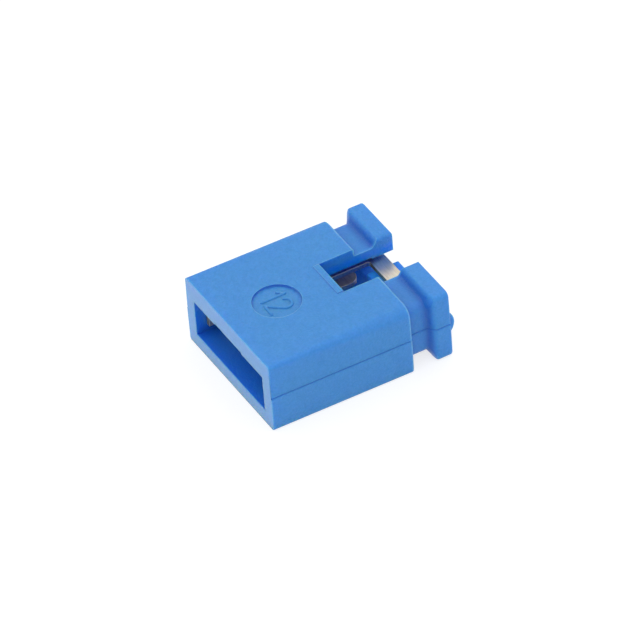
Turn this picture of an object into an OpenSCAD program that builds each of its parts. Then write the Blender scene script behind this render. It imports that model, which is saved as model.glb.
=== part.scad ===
// Two-position jumper shunt for square header pins, open-top style.
// A moulded housing holds one stamped and folded contact, which joins the two pins.
// The shunt lies on its broad side: +Z is up, the pins enter the mouth at the -Y end
// and travel towards +Y, where the housing narrows to a neck and ends in a split grip.

/* [Pins] */
// Distance between the two pins
pin_pitch = 2.54; // [2.45:0.01:2.65]
// Side of one square pin
pin_side = 0.64; // [0.55:0.01:0.72]

/* [Body] */
// Width of the body at the mouth, across both pins
body_w = 5.04; // [4.9:0.01:5.4]
// Width of the body at the neck, and of the grip
rear_w = 5.16; // [5.04:0.01:5.5]
// Thickness of the body
body_h = 2.42; // [2.35:0.01:2.7]
// Length of the body, from the mouth to the neck
body_l = 4.75; // [4.5:0.01:5.2]
// Radius of the upper long edges at the mouth
edge_r_mouth = 0.12; // [0.06:0.01:0.3]
// Radius of the upper long edges at the neck
edge_r_neck = 0.35; // [0.12:0.01:0.4]
// Radius of the lower long edges
edge_r_low = 0.08; // [0.03:0.01:0.15]
// Radius of the edges that end the body and the grip
edge_r_end = 0.06; // [0.02:0.01:0.1]

/* [Parting line] */
// Height of the parting line above the lower face
parting_h = 1.23; // [1:0.01:1.4]
// Draft of the side walls, in degrees
draft = 1; // [0.2:0.1:2]
// How far the lower half stands out at the parting line
parting_step = 0.02; // [0:0.005:0.04]
// Width of the bevel that each half has at the parting line
seam = 0.02; // [0.01:0.005:0.04]

/* [Neck and grip] */
// Length of the neck, from the body to the foot of the grip's shoulder
neck_l = 0.59; // [0.4:0.01:0.9]
// How far each side of the neck lies inside the body
neck_inset = 0.23; // [0.1:0.01:0.3]
// How far the neck's upper face lies below the body's
neck_drop = 0.27; // [0.15:0.01:0.35]
// How far the neck's lower face lies above the body's
neck_rise = 0.3; // [0.15:0.01:0.35]
// Radius of the neck's long edges
neck_r = 0.28; // [0.1:0.01:0.35]
// Length of the shoulder, from its foot to the grip's full section
shoulder_l = 0.26; // [0.2:0.01:0.5]
// Length of the grip at its full section
grip_l = 0.47; // [0.3:0.01:0.8]
// Radius of the grip's outer long edges
grip_r = 0.16; // [0.05:0.01:0.25]
// Radius of the grip's upper edges beside the test slot
ear_r = 0.12; // [0.05:0.01:0.2]

/* [Cavity] */
// Thickness of the wall at each side of the cavity
side_wall = 0.485; // [0.4:0.005:0.55]
// Thickness of the wall below the cavity
floor_t = 0.48; // [0.4:0.01:0.6]
// Thickness of the wall above the cavity
roof_t = 0.66; // [0.55:0.01:0.75]
// Depth of the groove in the roof, between mouth and shoulder
groove_depth = 0.05; // [0.02:0.01:0.1]

/* [Test slot] */
// Width of the slot in the roof
slot_w = 1.5; // [1.2:0.01:1.6]
// Distance from the mouth to the front edge of the slot
slot_start = 3.55; // [3:0.01:4.2]
// Length of the low lip along the slot's front edge
lip_l = 0.2; // [0.1:0.01:0.3]
// Height of the lip above the upper face
lip_h = 0.025; // [0.01:0.005:0.05]

/* [Mark] */
// Diameter of the round recess in the upper face
recess_d = 1.5; // [1:0.01:1.8]
// Depth of the recess
recess_depth = 0.07; // [0.03:0.01:0.15]
// Distance from the mouth to the centre of the recess
recess_start = 1.71; // [1.2:0.01:2.1]

/* [Rear block] */
// Width of the block that carries the contact's bridge
block_w = 1; // [0.7:0.01:1.3]
// Length of the block, from the rear face forward
block_l = 1.07; // [0.95:0.01:1.3]

/* [Gate] */
// Height of the stub that the moulding gate leaves on the rear face
gate_h = 0.75; // [0.4:0.01:0.9]
// How far the stub stands out
gate_proud = 0.15; // [0.08:0.01:0.2]
// Thickness of the stub
gate_t = 0.33; // [0.2:0.01:0.36]

/* [Contact] */
// Thickness of the strip
strip_t = 0.15; // [0.1:0.01:0.2]
// Inner radius of the strip's folds
bend_r = 0.1; // [0.05:0.01:0.15]
// Length of the bridge, along the pins
bridge_l = 0.53; // [0.35:0.01:0.6]
// Distance from the rear face to the bridge
bridge_setback = 0.27; // [0.2:0.01:0.35]
// Width of each arm that runs forward from the bridge
arm_w = 0.95; // [0.8:0.01:1.05]
// Distance from the mouth to the contact
contact_setback = 0.35; // [0.2:0.01:0.6]
// Length of the folded collar at the front of each arm
collar_l = 1.35; // [1:0.01:1.8]
// How far the sole of the collar starts behind its side
sole_setback = 0.4; // [0.2:0.01:0.6]
// Width of the spring leaf under each pin
leaf_w = 0.8; // [0.6:0.01:0.84]
// Gap between the tip of a leaf and the bridge
tip_gap = 0.28; // [0.1:0.01:0.4]
// Distance from the tip of a leaf to its crest
crest_back = 0.75; // [0.5:0.01:1.1]
// Radius of the crest
crest_r = 0.8; // [0.4:0.01:1.2]
// Slope of the leaf behind the crest, in degrees
tip_slope = 3; // [1:0.5:10]
// Length and height of the bevel at the front edge of each arm
lead_in_l = 0.1; // [0.04:0.01:0.1]
// How much narrower than a pin the relaxed grip is
grip_nip = 0.21; // [0.1:0.01:0.25]

/* [Fits] */
// Gap between the bridge and the roof
roof_gap = 0.11; // [0.05:0.01:0.15]
// Gap between the collar and each side wall
side_gap = 0.03; // [0.01:0.01:0.06]
// Gap between the collar and the cavity's floor
floor_gap = 0.02; // [0.01:0.01:0.06]
// How far the arms stay outside the slot
slot_margin = 0.05; // [0.02:0.01:0.1]

/* [Hidden] */

// Smoothness of full circles
$fn = 48;
// Steps of a quarter circle in a computed outline
quarter_steps = 6;
// Steps of the rounded edge around an end
end_steps = 3;
// Steps of the shoulder's curve
shoulder_steps = 8;
// Overlap that makes a cut or a joint between shapes clean
skin = 0.01;
// How far a cut reaches past the face that it opens
overrun = 1;

// Stations along the pins, from the mouth
foot_y = body_l + neck_l;
grip_y = foot_y + shoulder_l;
rear_y = grip_y + grip_l;
bridge_rear = rear_y - bridge_setback;
bridge_front = bridge_rear - bridge_l;
tip_y = bridge_front - tip_gap;
collar_rear = contact_setback + collar_l;

// Heights
roof_z = body_h - roof_t;
bridge_top = roof_z - roof_gap;
bridge_low = bridge_top - strip_t;
sole_low = floor_t + floor_gap;
sole_top = sole_low + strip_t;
crest_z = bridge_low - (pin_side - grip_nip);

// Widths, from the middle
cavity_w = body_w - 2 * side_wall;
collar_x = cavity_w / 2 - side_gap;
arm_in = slot_w / 2 + slot_margin;
arm_out = arm_in + arm_w;
leaf_in = (pin_pitch - leaf_w) / 2;

// ---- shared shapes ----

function arc(centre, r, from, to) =
    [for (i = [0:quarter_steps])
        let (a = from + (to - from) * i / quarter_steps)
        centre + r * [cos(a), sin(a)]];

// Extrudes a side outline, drawn in (y, z), from x0 to x1.
module along_x(x0, x1) {
    translate([x0, 0, 0])
        rotate([90, 0, 90])
            linear_extrude(x1 - x0)
                children();
}

// Extrudes a front outline, drawn in (x, z), from y0 to y1.
module along_y(y0, y1) {
    translate([0, y1, 0])
        rotate([90, 0, 0])
            linear_extrude(y1 - y0)
                children();
}

// Extrudes a plan, drawn in (x, y), from z0 to z1.
module along_z(z0, z1) {
    translate([0, 0, z0])
        linear_extrude(z1 - z0)
            children();
}

module rectangle(from, to) {
    translate(from)
        square(to - from);
}

module block(from, to) {
    translate(from)
        cube(to - from);
}

module rounded_rectangle(from, to, r) {
    rectangle(from + [r, 0], to - [r, 0]);
    rectangle(from + [0, r], to - [0, r]);
    for (x = [from[0] + r, to[0] - r], y = [from[1] + r, to[1] - r])
        translate([x, y])
            circle(r);
}

// Fills the inner corner at a point with a fillet towards (dir_x, dir_y).
module corner_fillet(point, dir, r) {
    translate(point)
        difference() {
            rectangle([min(0, dir[0] * r), min(0, dir[1] * r)], [max(0, dir[0] * r), max(0, dir[1] * r)]);
            translate(dir * r)
                circle(r);
        }
}

// ---- housing ----

// The shell is a loft through sections along the pins. A section is a list of
// [half width, height, radius] for the half above the parting line, then for the half
// below it. Every section's edges have the same directions, so the faces are flat.

function half_side(half_w, height, r) =
    let (lean = (height - r - seam) * tan(draft))
    concat([[half_w, seam]], arc([half_w - lean - r, height - r], r, 0, 90));

function flipped(points, x_sign, z_sign) = [for (p = points) [p[0] * x_sign, p[1] * z_sign]];

function reversed(points) = [for (i = [len(points) - 1:-1:0]) points[i]];

// The outline of a section, from the root of the parting line on one side over the top.
function ring(section) =
    let (
        root = [section[0] - seam, 0],
        above = half_side(section[0], section[1], section[2]),
        below = half_side(section[3], section[4], section[5])
    )
    concat(
        [root],
        above,
        reversed(flipped(above, -1, 1)),
        [-root],
        flipped(below, -1, -1),
        reversed(flipped(below, 1, -1))
    );

function inset(section, by) = section - [by, by, 0, by, by, 0];

// Stations [y, section] of a rounded edge that ends at y.
function rounded_end(y, section) =
    [for (a = [0:90 / end_steps:90])
        [y - edge_r_end * (1 - sin(a)), inset(section, edge_r_end * (1 - cos(a)))]];

// Stations of the shoulder, on a smooth S-curve from neck to grip.
function shoulder(neck, grip) =
    [for (share = [0:1 / shoulder_steps:1])
        [foot_y + shoulder_l * share, neck + (grip - neck) * (1 - cos(180 * share)) / 2]];

module loft(stations) {
    rings = [for (station = stations) ring(station[1])];
    count = len(rings[0]);
    last = (len(rings) - 1) * count;
    polyhedron(
        points = [for (i = [0:len(rings) - 1], p = rings[i]) [p[0], stations[i][0], p[1]]],
        faces = concat(
            [[for (j = [count - 1:-1:0]) j]],
            [for (i = [0:count:last - 1], j = [0:count - 1])
                let (next = (j + 1) % count)
                [i + j, i + next, i + count + next, i + count + j]],
            [[for (j = [0:count - 1]) last + j]]
        )
    );
}

// The upper half is set back at the parting line, and the lower half is not.
module shell() {
    up = body_h - parting_h;
    down = parting_h;
    low_w = rear_w / 2;
    up_w = low_w - parting_step;
    mouth = [body_w / 2 - parting_step, up, edge_r_mouth, body_w / 2, down, edge_r_low];
    body_end = [up_w, up, edge_r_neck, low_w, down, edge_r_low];
    neck = [up_w - neck_inset, up - neck_drop, neck_r, low_w - neck_inset, down - neck_rise, neck_r];
    grip = [up_w, up, grip_r, low_w, down, grip_r];
    translate([0, 0, parting_h])
        loft(concat(
            [[0, mouth]],
            rounded_end(body_l, body_end),
            [[body_l, neck]],
            shoulder(neck, grip),
            rounded_end(rear_y, grip)
        ));
}

// The passage for both pins, open at the mouth and at the rear.
module cavity() {
    block([-cavity_w / 2, -overrun, floor_t], [cavity_w / 2, rear_y + overrun, roof_z]);
    block([-arm_in, -overrun, roof_z - skin], [arm_in, foot_y, roof_z + groove_depth]);
}

module test_slot() {
    block([-slot_w / 2, slot_start, roof_z - skin], [slot_w / 2, rear_y + overrun, body_h + overrun]);
}

// Rounds the upper edges of the grip's two ears, where they face the slot.
module ear_edges() {
    edge = [slot_w / 2, body_h];
    for (side = [0, 1])
        mirror([side, 0, 0])
            along_y(foot_y, rear_y + overrun)
                difference() {
                    rectangle(edge - [skin, ear_r], edge + [ear_r, skin]);
                    translate(edge + [ear_r, -ear_r])
                        circle(ear_r);
                }
}

module slot_lip() {
    half_w = slot_w / 2 - lip_h;
    block([-half_w, slot_start - lip_l, body_h - lip_h], [half_w, slot_start, body_h + lip_h]);
}

module mark_recess() {
    translate([0, recess_start, body_h - recess_depth])
        cylinder(h = overrun, d = recess_d);
}

// Stands on the cavity's floor at the rear and carries the bridge.
module rear_block() {
    block([-block_w / 2, rear_y - block_l, floor_t - skin], [block_w / 2, rear_y, bridge_low]);
}

// A round-backed tab on the rear end of one side wall, at the parting line.
module gate_stub() {
    r = (gate_h * gate_h / 4 + gate_proud * gate_proud) / (2 * gate_proud);
    middle_x = (rear_w + cavity_w) / 4;
    along_x(middle_x - gate_t / 2, middle_x + gate_t / 2)
        intersection() {
            translate([rear_y + gate_proud - r, parting_h])
                circle(r);
            rectangle([rear_y - 2 * edge_r_end, 0], [rear_y + overrun, body_h]);
        }
}

module housing() {
    color("#4a92d6") {
        difference() {
            union() {
                shell();
                slot_lip();
            }
            cavity();
            test_slot();
            ear_edges();
            mark_recess();
        }
        rear_block();
        gate_stub();
    }
}

// ---- contact ----

// Plan of the flat part: the bridge and one arm, without the collar.
module arm_plan() {
    corner_r = 2 * bend_r;
    rounded_rectangle([-corner_r, bridge_front], [arm_out, bridge_rear], bend_r);
    rounded_rectangle([arm_in, contact_setback], [arm_out, bridge_rear], bend_r);
    corner_fillet([arm_in, bridge_front], [-1, -1], bend_r);
}

// Section of the folded collar, open towards the middle of the shunt.
module collar_section(inner_x) {
    outer_r = bend_r + strip_t;
    intersection() {
        difference() {
            rounded_rectangle([0, sole_low], [collar_x, bridge_top], outer_r);
            rounded_rectangle([-outer_r, sole_top], [collar_x - strip_t, bridge_low], bend_r);
        }
        rectangle([inner_x, 0], [collar_x, body_h]);
    }
}

// The top and side of the collar start together, and its sole starts behind them.
module collar() {
    sole_y = contact_setback + sole_setback;
    along_y(sole_y, collar_rear)
        collar_section(leaf_in);
    along_y(contact_setback, sole_y + skin)
        intersection() {
            collar_section(arm_in);
            rectangle([0, sole_low + bend_r + strip_t], [collar_x, bridge_top]);
        }
}

// Side outline of the spring leaf: up from the sole, over the crest and down to the tip.
function leaf_outline() =
    let (
        crest = [tip_y - crest_back, crest_z - crest_r],
        root = [collar_rear, sole_top],
        reach = crest - root,
        slope = atan2(reach[1], reach[0]) + asin(crest_r / norm(reach)),
        tail_from = 90 - tip_slope,
        tail_y = tip_y + skin,
        tail_top = crest + crest_r * [cos(tail_from), sin(tail_from)],
        tail_low = crest + (crest_r - strip_t) * [cos(tail_from), sin(tail_from)]
    )
    concat(
        [root - [skin, 0]],
        arc(crest, crest_r, 90 + slope, tail_from),
        [[tail_y, tail_top[1] - (tail_y - tail_top[0]) * tan(tip_slope)]],
        [[tail_y, tail_low[1] - (tail_y - tail_low[0]) * tan(tip_slope)]],
        arc(crest, crest_r - strip_t, tail_from, 90 + slope),
        [root - [skin, strip_t]]
    );

module leaf() {
    intersection() {
        along_x(leaf_in, leaf_in + leaf_w)
            polygon(leaf_outline());
        along_z(0, body_h) {
            rectangle([leaf_in, collar_rear - skin], [leaf_in + leaf_w, tip_y - leaf_w / 2]);
            translate([leaf_in + leaf_w / 2, tip_y - leaf_w / 2])
                circle(leaf_w / 2);
        }
    }
}

// Bevel along the front edge of the arm, which guides the pin in.
module lead_in() {
    along_x(0, body_w)
        polygon([
            [contact_setback - skin, bridge_low - skin],
            [contact_setback + lead_in_l, bridge_low - skin],
            [contact_setback - skin, bridge_low + lead_in_l]
        ]);
}

module contact_half() {
    difference() {
        union() {
            along_z(bridge_low, bridge_top)
                arm_plan();
            collar();
        }
        lead_in();
    }
    leaf();
}

module contact() {
    color("#d8c9a8")
        for (side = [0, 1])
            mirror([side, 0, 0])
                contact_half();
}

// ---- the whole shunt, with its origin under the middle of its box ----

module placed() {
    translate([0, -(rear_y + gate_proud) / 2, 0])
        children();
}

placed() housing();
placed() contact();
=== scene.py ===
import math

import bpy
from mathutils import Matrix, Vector


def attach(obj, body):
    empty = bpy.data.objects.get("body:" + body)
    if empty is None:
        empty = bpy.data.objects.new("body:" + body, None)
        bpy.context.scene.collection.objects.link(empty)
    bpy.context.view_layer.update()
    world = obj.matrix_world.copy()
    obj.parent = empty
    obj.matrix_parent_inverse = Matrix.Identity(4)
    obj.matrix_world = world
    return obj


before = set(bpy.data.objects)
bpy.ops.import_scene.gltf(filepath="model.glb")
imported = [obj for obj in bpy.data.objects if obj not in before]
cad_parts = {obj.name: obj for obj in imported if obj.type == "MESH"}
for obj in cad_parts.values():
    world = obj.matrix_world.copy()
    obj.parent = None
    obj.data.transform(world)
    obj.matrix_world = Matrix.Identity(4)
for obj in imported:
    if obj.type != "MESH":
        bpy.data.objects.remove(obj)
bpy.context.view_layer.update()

MM = 0.001

# The view: a long lens from the front right-hand side.
AIM = Vector((0.075, -0.077, 1.082)) * MM
AZIMUTH = math.radians(63.164)
ELEVATION = math.radians(40.714)
ROLL = math.radians(4.84)
DISTANCE = 235.6 * MM
LENS = 450
SENSOR = 36

# Brightness of the light tent at the horizon and overhead, and where it starts and stops to rise.
HORIZON = 0.36
ZENITH = 1.05
TENT_LOW = math.radians(2)
TENT_HIGH = math.radians(32)

# Half the width of the floor, and how far it lies under the part.
FLOOR_HALF = 400 * MM
FLOOR_GAP = 0.004 * MM

# Places on the housing and the contact, in the shared frame.
RECESS_Y = -1.4 * MM
RECESS_FLOOR = 2.35 * MM
SLOT_START = 0.44 * MM
SLOT_HALF = 0.78 * MM
CAVITY_TOP = 2.2 * MM
CAVITY_HALF = 2.045 * MM
CAVITY_ROOF = 1.78 * MM
CAVITY_FLOOR = 0.478 * MM
RIM_Y = -3.09 * MM
REAR_Y = 2.94 * MM
PARTING_Z = 1.23 * MM
BODY_REAR_Y = 1.62 * MM
BODY_TOP_Z = 2.3 * MM
BODY_SIDE_X = 2.45 * MM
NECK_START = 1.66 * MM
NECK_END = 2.42 * MM
LEAF_TOP = 1.3 * MM

# Width of the soft edges of the masks inside the cavity.
EDGE = 0.01 * MM

# The cavity number that the mould leaves in the recess.
DIGIT_HEIGHT = 0.78 * MM
DIGIT_GAP = 0.2 * MM
STROKE_R = 0.045 * MM

# How much of the skin's pattern is grain. The rest is mottling.
GRAIN_SHARE = 0.7


# ---- node helpers ----

def new_material(name):
    material = bpy.data.materials.new(name)
    material.use_nodes = True
    material.node_tree.nodes.clear()
    return material, material.node_tree


def feed(tree, socket, value):
    """Links a socket to an input, or sets the input to a constant."""
    if isinstance(value, bpy.types.NodeSocket):
        tree.links.new(value, socket)
    else:
        socket.default_value = value


def add_node(tree, kind, **values):
    """Adds a node. A value is a property of the node, or goes into the input of that name."""
    node = tree.nodes.new("ShaderNode" + kind)
    for name, value in values.items():
        if hasattr(node, name):
            setattr(node, name, value)
        else:
            feed(tree, node.inputs[name.replace("_", " ")], value)
    return node


def finish_material(tree, shader):
    output = tree.nodes.new("ShaderNodeOutputMaterial")
    tree.links.new(shader, output.inputs["Surface"])


def linear(red, green, blue):
    """An sRGB colour, each part from 0 to 255, as the linear colour that a node takes."""
    parts = [c / 255 for c in (red, green, blue)]
    return [c / 12.92 if c <= 0.04045 else ((c + 0.055) / 1.055) ** 2.4 for c in parts] + [1]


def combine(tree, operation, *values):
    """Applies a sum, product or other operation to two values or more, from the left."""
    result = values[0]
    for value in values[1:]:
        node = add_node(tree, "Math", operation=operation)
        feed(tree, node.inputs[0], result)
        feed(tree, node.inputs[1], value)
        result = node.outputs[0]
    return result


def multiply(tree, *values):
    return combine(tree, "MULTIPLY", *values)


def size_of(tree, value):
    """The value without its sign."""
    return combine(tree, "ABSOLUTE", value, 0.0)


def scaled(tree, value, to_min, to_max, from_min=0.0, from_max=1.0, **options):
    """Maps one range of values on another."""
    node = add_node(
        tree,
        "MapRange",
        Value=value,
        From_Min=from_min,
        From_Max=from_max,
        To_Min=to_min,
        To_Max=to_max,
        **options,
    )
    return node.outputs["Result"]


def step(tree, value, low, high):
    """0 below low and 1 above high, or the other way round where low is above high."""
    return scaled(
        tree,
        value,
        float(low > high),
        float(low < high),
        min(low, high),
        max(low, high),
        interpolation_type="SMOOTHSTEP",
        clamp=True,
    )


def window(tree, value, low, high, soft):
    """1 between low and high, and 0 outside, with soft edges that reach outwards."""
    return multiply(tree, step(tree, value, low - soft, low), step(tree, value, high + soft, high))


def blend(tree, share, first, second):
    """Goes from the first colour to the second as share goes from 0 to 1."""
    node = add_node(tree, "Mix", data_type="RGBA")
    colours = [socket for socket in node.inputs if socket.type == "RGBA"]
    tree.links.new(share, node.inputs["Factor"])
    feed(tree, colours[0], first)
    feed(tree, colours[1], second)
    return next(socket for socket in node.outputs if socket.type == "RGBA")


def two_tone(tree, factor, low, low_colour, high, high_colour):
    """A ramp between two colours, at two positions."""
    ramp = add_node(tree, "ValToRGB", Fac=factor)
    for element, position, colour in zip(
        ramp.color_ramp.elements, (low, high), (low_colour, high_colour)
    ):
        element.position = position
        element.color = colour
    return ramp.outputs["Color"]


# ---- colours ----

SKIN_DARK = linear(44, 138, 210)
SKIN_LIGHT = linear(60, 149, 224)
# Painted glow: a deeper blue inside the cavity and a bright blue under the slot.
CAVITY_PAINTED_GLOW = linear(28, 122, 226)
SLOT_PAINTED_GLOW = linear(10, 134, 250)
# Painted shade in hollow corners.
HOLLOW_PAINTED_SHADE = linear(12, 98, 198)
# Painted shade on the neck.
NECK_PAINTED_SHADE = linear(6, 100, 196)
# Painted highlight on edges and painted sheen on end faces.
PAINTED_HIGHLIGHT_BLUE = linear(140, 200, 244)
PLATING_DARK = linear(222, 208, 184)
PLATING_LIGHT = linear(240, 228, 206)
BARE_ALLOY = linear(205, 188, 138)

# How far blue light travels in the plastic, how far red, green and blue go beside it, and the share
# of the light that goes in at all.
LIGHT_DEPTH = 0.7 * MM
LIGHT_REACH = (0.08, 0.35, 1.0)
LIGHT_SHARE = 0.7

# The look of sharp edges, and how far around a point the plastic is searched for hollow corners.
PLASTIC_EDGE_R = 0.06 * MM
METAL_EDGE_R = 0.02 * MM
# Painted shade goes into the hollow corners found within this reach.
HOLLOW_REACH = 0.55 * MM

# How much of the painted shade in hollows, the painted highlight on edges and the painted sheen on
# end faces shows.
HOLLOW_SHADE_SHARE = 0.7
EDGE_HIGHLIGHT_SHARE = 0.45
END_SHEEN_SHARE = 0.2

# Roughness, and strength and depth of the grain.
SKIN_ROUGH = 0.42
END_ROUGH = 0.22
SKIN_GRAIN = 0.75
END_GRAIN = 0.2
GRAIN_DEPTH = 0.025 * MM
BRIDGE_ROUGH = 0.32
LEAF_ROUGH = 0.42
STREAK_STRENGTH = 0.25
STREAK_DEPTH = 0.01 * MM
STREAK_STRETCH = (1.5, 14, 14)


# ---- materials ----

def skin_colour(tree, place):
    """Fine sparks of grain over a faint mottling. Gives the colour and the grain's height."""
    grain = add_node(tree, "TexNoise", Vector=place, Scale=13 / MM, Detail=2.0, Roughness=0.7)
    mottle = add_node(tree, "TexNoise", Vector=place, Scale=4 / MM, Detail=3.0)
    speckle = scaled(tree, grain.outputs["Fac"], 0.0, GRAIN_SHARE, 0.35, 0.65)
    cloud = scaled(tree, mottle.outputs["Fac"], 0.0, 1 - GRAIN_SHARE, 0.3, 0.7)
    pattern = combine(tree, "ADD", speckle, cloud)
    return blend(tree, pattern, SKIN_DARK, SKIN_LIGHT), grain.outputs["Fac"]


def inner_masks(tree, across, at):
    """Where the surface lies inside the cavity, and where it lies under the slot: the places of the
    painted glow.
    """
    inside = multiply(
        tree,
        step(tree, across, CAVITY_HALF + EDGE, CAVITY_HALF - 2 * EDGE),
        window(tree, at["Z"], CAVITY_FLOOR, CAVITY_ROOF, EDGE),
        window(tree, at["Y"], RIM_Y, REAR_Y, EDGE),
    )
    under_slot = multiply(
        tree,
        step(tree, across, 2 * SLOT_HALF, SLOT_HALF),
        step(tree, at["Y"], SLOT_START - 0.1 * MM, SLOT_START + 0.15 * MM),
        step(tree, at["Y"], REAR_Y + EDGE, REAR_Y),
        step(tree, at["Z"], CAVITY_FLOOR - EDGE, CAVITY_FLOOR),
        step(tree, at["Z"], CAVITY_TOP, CAVITY_TOP - 0.3 * MM),
    )
    return inside, under_slot


def neck_shade(tree, across, at):
    """Painted shade on the neck, which lies in the shade of body and grip, most of all at the foot
    of the shoulder.
    """
    foot = step(tree, at["Y"], NECK_END - 0.4 * MM, NECK_END - 0.12 * MM)
    return multiply(
        tree,
        step(tree, at["Y"], NECK_START, NECK_START + 0.06 * MM),
        step(tree, at["Y"], NECK_END, NECK_END - 0.1 * MM),
        step(tree, across, SLOT_HALF, SLOT_HALF + 0.08 * MM),
        combine(tree, "ADD", multiply(tree, foot, 0.7), 0.15),
    )


def edge_mask(tree, across, at, normal, soft_normal, openness):
    """Where the painted highlight goes: sharp edges away from the parting line, and the edge around
    the body's rear.
    """
    turn = add_node(tree, "VectorMath", operation="DOT_PRODUCT")
    tree.links.new(soft_normal, turn.inputs[0])
    tree.links.new(normal, turn.inputs[1])
    from_seam = size_of(tree, combine(tree, "SUBTRACT", at["Z"], PARTING_Z))
    from_rear = size_of(tree, combine(tree, "SUBTRACT", at["Y"], BODY_REAR_Y))
    sharp = multiply(
        tree,
        step(tree, turn.outputs["Value"], 0.99, 0.85),
        step(tree, openness, 0.6, 0.85),
        step(tree, from_seam, 0.04 * MM, 0.08 * MM),
    )
    outer = combine(
        tree,
        "MAXIMUM",
        step(tree, at["Z"], BODY_TOP_Z - 0.1 * MM, BODY_TOP_Z),
        step(tree, across, BODY_SIDE_X - 0.1 * MM, BODY_SIDE_X),
    )
    rear = multiply(tree, step(tree, from_rear, 0.06 * MM, 0.02 * MM), outer)
    return combine(tree, "MAXIMUM", sharp, rear)


def plastic(name, depth):
    """The blue plastic. Depth is how far blue light travels in it, or 0 for a thin form."""
    material, tree = new_material(name)
    geometry = add_node(tree, "NewGeometry").outputs
    at = add_node(tree, "SeparateXYZ", Vector=geometry["Position"]).outputs
    across = size_of(tree, at["X"])
    own_normal = add_node(tree, "TexCoord").outputs["Normal"]
    facing = add_node(tree, "SeparateXYZ", Vector=own_normal).outputs
    soft_normal = add_node(tree, "Bevel", samples=8, Radius=PLASTIC_EDGE_R).outputs["Normal"]
    occlusion = add_node(
        tree, "AmbientOcclusion", samples=8, only_local=True, Distance=HOLLOW_REACH
    )
    openness = occlusion.outputs["AO"]

    # Painted glow: the cavity is painted a deeper blue and the floor under the slot a bright one,
    # for light that reaches the eye through the walls.
    skin, grain = skin_colour(tree, geometry["Position"])
    inside, under_slot = inner_masks(tree, across, at)
    colour = blend(tree, under_slot, blend(tree, inside, skin, CAVITY_PAINTED_GLOW), SLOT_PAINTED_GLOW)

    # Painted shade: hollow corners and the neck are painted a deeper blue.
    painted_hollow_shade = multiply(tree, step(tree, openness, 0.96, 0.5), HOLLOW_SHADE_SHARE)
    shaded = blend(tree, painted_hollow_shade, colour, HOLLOW_PAINTED_SHADE)
    shaded = blend(tree, neck_shade(tree, across, at), shaded, NECK_PAINTED_SHADE)

    # Painted highlight: edges are painted paler, and the end faces get a paler painted sheen.
    # The end faces are also smoother, as the steel behind them is polished.
    end_face = step(tree, size_of(tree, facing["Y"]), 0.85, 0.97)
    edges = edge_mask(tree, across, at, geometry["Normal"], soft_normal, openness)
    outside = combine(tree, "SUBTRACT", 1.0, inside)
    painted_edge_highlight = multiply(tree, edges, outside, EDGE_HIGHLIGHT_SHARE)
    painted_highlight = combine(tree, "MAXIMUM", painted_edge_highlight, multiply(tree, end_face, END_SHEEN_SHARE))
    bump = add_node(
        tree,
        "Bump",
        Height=grain,
        Normal=soft_normal,
        Strength=scaled(tree, end_face, SKIN_GRAIN, END_GRAIN),
        Distance=GRAIN_DEPTH,
    )
    shader = add_node(
        tree,
        "BsdfPrincipled",
        Base_Color=blend(tree, painted_highlight, shaded, PAINTED_HIGHLIGHT_BLUE),
        Roughness=scaled(tree, end_face, SKIN_ROUGH, END_ROUGH),
        IOR=1.55,
        Subsurface_Weight=LIGHT_SHARE if depth else 0.0,
        Subsurface_Radius=LIGHT_REACH,
        Subsurface_Scale=depth,
        Normal=bump.outputs["Normal"],
    )
    finish_material(tree, shader.outputs["BSDF"])
    return material


def metal():
    material, tree = new_material("plated_strip")
    coordinates = add_node(tree, "TexCoord").outputs
    facing = add_node(tree, "SeparateXYZ", Vector=coordinates["Normal"]).outputs
    height = add_node(tree, "SeparateXYZ", Vector=coordinates["Object"]).outputs["Z"]
    stretched = add_node(tree, "Mapping", Vector=coordinates["Object"], Scale=STREAK_STRETCH)
    along = stretched.outputs["Vector"]
    streaks = add_node(tree, "TexNoise", Vector=along, Scale=2 / MM, Detail=3.0)
    tint = two_tone(tree, streaks.outputs["Fac"], 0.35, PLATING_DARK, 0.65, PLATING_LIGHT)

    # The punched edges at the front show the bare alloy. They and the leaves are duller than
    # the bridge.
    cut_edge = step(tree, facing["Y"], -0.9, -0.98)
    leaf = step(tree, height, LEAF_TOP + 0.1 * MM, LEAF_TOP)
    dull = combine(tree, "MAXIMUM", leaf, cut_edge)
    soft_edge = add_node(tree, "Bevel", samples=6, Radius=METAL_EDGE_R)
    bump = add_node(
        tree,
        "Bump",
        Height=streaks.outputs["Fac"],
        Normal=soft_edge.outputs["Normal"],
        Strength=STREAK_STRENGTH,
        Distance=STREAK_DEPTH,
    )
    shader = add_node(
        tree,
        "BsdfPrincipled",
        Base_Color=blend(tree, cut_edge, tint, BARE_ALLOY),
        Metallic=1.0,
        Roughness=scaled(tree, dull, BRIDGE_ROUGH, LEAF_ROUGH),
        Normal=bump.outputs["Normal"],
    )
    finish_material(tree, shader.outputs["BSDF"])
    return material


# ---- cavity number ----

def rounded_ends(points):
    """[point, radius factor] along a stroke, with steps that close both ends in a half round."""
    steps = [math.radians(a) for a in (90, 75, 55, 30)]
    start = (points[0] - points[1]).normalized()
    end = (points[-1] - points[-2]).normalized()
    cap = [(math.sin(a) * STROKE_R, max(math.cos(a), 0.01)) for a in steps]
    return (
        [(points[0] + start * out, factor) for out, factor in cap]
        + [(p, 1.0) for p in points]
        + [(points[-1] + end * out, factor) for out, factor in reversed(cap)]
    )


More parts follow.
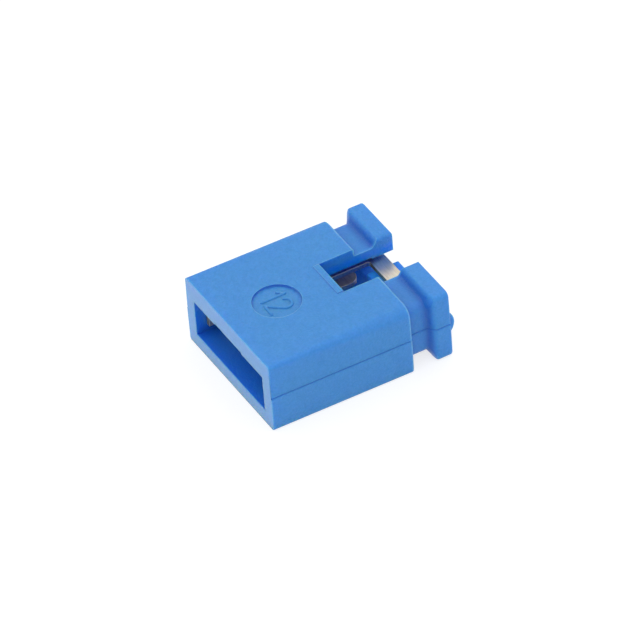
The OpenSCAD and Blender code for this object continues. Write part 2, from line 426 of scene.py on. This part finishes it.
def digit_strokes():
    """Strokes of the digits 1 and 2, in digit heights from the lower left of each."""
    one_width, two_width, bow_r = 0.2, 0.54, 0.26
    bow = [math.radians(a) for a in range(165, -46, -15)]
    arch = [(bow_r + bow_r * math.cos(a), 1 - bow_r + bow_r * math.sin(a)) for a in bow]
    one = [[(0, 0.76), (one_width, 1)], [(one_width, 1), (one_width, 0)]]
    two = [arch + [(0, 0)], [(0, 0), (two_width, 0)]]
    gap = DIGIT_GAP / DIGIT_HEIGHT
    width = one_width + gap + two_width
    return [
        [Vector((x + left - width / 2, y - 0.5, 0)) * DIGIT_HEIGHT for x, y in stroke]
        for left, digit in ((0, one), (one_width + gap, two))
        for stroke in digit
    ]


def add_number(material):
    curve = bpy.data.curves.new("number", "CURVE")
    curve.dimensions = "3D"
    curve.bevel_depth = STROKE_R
    curve.bevel_resolution = 4
    for stroke in digit_strokes():
        points = rounded_ends(stroke)
        spline = curve.splines.new("POLY")
        spline.points.add(len(points) - 1)
        for point, (place, factor) in zip(spline.points, points):
            point.co = (*place, 1)
            point.radius = factor
    holder = bpy.data.objects.new("number_curve", curve)
    bpy.context.scene.collection.objects.link(holder)
    graph = bpy.context.evaluated_depsgraph_get()
    mesh = bpy.data.meshes.new_from_object(holder.evaluated_get(graph))
    bpy.data.objects.remove(holder)
    mesh.materials.clear()
    mesh.materials.append(material)
    mesh.shade_smooth()
    number = bpy.data.objects.new("cavity_number", mesh)
    number.location = (0, RECESS_Y, RECESS_FLOOR)
    bpy.context.scene.collection.objects.link(number)
    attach(number, "root")


# ---- stage ----

def seen_directly(tree):
    """1 for rays from the camera, from a glossy surface or through a clear one, else 0."""
    path = add_node(tree, "LightPath").outputs
    return combine(
        tree, "MAXIMUM", path["Is Camera Ray"], path["Is Glossy Ray"], path["Is Transmission Ray"]
    )


def mix_shaders(tree, share, first, second):
    mix = add_node(tree, "MixShader")
    for socket, source in zip(mix.inputs, (share, first, second)):
        tree.links.new(source, socket)
    return mix.outputs[0]


def floor_material():
    material, tree = new_material("pale_floor")
    plain = add_node(tree, "BsdfDiffuse", Color=(0.96, 0.96, 0.96, 1))
    shadowed = add_node(tree, "BsdfDiffuse", Color=(0.35, 0.35, 0.35, 1))
    glow = add_node(tree, "Emission", Strength=0.75)
    lit = add_node(tree, "AddShader")
    tree.links.new(shadowed.outputs[0], lit.inputs[0])
    tree.links.new(glow.outputs[0], lit.inputs[1])
    from_above = mix_shaders(tree, seen_directly(tree), plain.outputs[0], lit.outputs[0])

    # Clear from below, so that the underside can be looked at.
    clear = add_node(tree, "BsdfTransparent")
    below = add_node(tree, "NewGeometry").outputs["Backfacing"]
    finish_material(tree, mix_shaders(tree, below, from_above, clear.outputs[0]))
    return material


def add_floor():
    mesh = bpy.data.meshes.new("floor")
    signs = ((-1, -1), (1, -1), (1, 1), (-1, 1))
    corners = [(x * FLOOR_HALF, y * FLOOR_HALF, -FLOOR_GAP) for x, y in signs]
    mesh.from_pydata(corners, [], [(0, 1, 2, 3)])
    floor = bpy.data.objects.new("floor", mesh)
    floor.data.materials.append(floor_material())
    bpy.context.scene.collection.objects.link(floor)


def add_world():
    """A light tent: darker near the horizon, and evenly bright from about 30 degrees up."""
    world = bpy.data.worlds.new("studio")
    bpy.context.scene.world = world
    world.use_nodes = True
    tree = world.node_tree
    direction = add_node(tree, "TexCoord").outputs["Generated"]
    height = add_node(tree, "SeparateXYZ", Vector=direction).outputs["Z"]
    strength = scaled(tree, height, HORIZON, ZENITH, math.sin(TENT_LOW), math.sin(TENT_HIGH))
    background = tree.nodes["Background"]
    background.inputs["Color"].default_value = (1, 1, 1, 1)
    tree.links.new(strength, background.inputs["Strength"])


def add_camera():
    data = bpy.data.cameras.new("camera")
    data.lens = LENS
    data.sensor_width = SENSOR
    data.clip_start = DISTANCE / 10
    data.clip_end = DISTANCE * 10
    camera = bpy.data.objects.new("camera", data)
    back = Vector((
        math.sin(AZIMUTH) * math.cos(ELEVATION),
        -math.cos(AZIMUTH) * math.cos(ELEVATION),
        math.sin(ELEVATION),
    ))
    turn = back.to_track_quat("Z", "Y").to_matrix().to_4x4()
    place = Matrix.Translation(AIM + back * DISTANCE)
    camera.matrix_world = place @ turn @ Matrix.Rotation(-ROLL, 4, "Z")
    bpy.context.scene.collection.objects.link(camera)
    bpy.context.scene.camera = camera


def dress(node, material):
    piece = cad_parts[node]
    for holder in piece.material_slots:
        holder.material = material


bpy.context.scene.view_settings.view_transform = "Standard"
dress("housing", plastic("moulded_blue_plastic", LIGHT_DEPTH))
dress("contact", metal())
add_number(plastic("number_plastic", 0))
add_floor()
add_world()
add_camera()
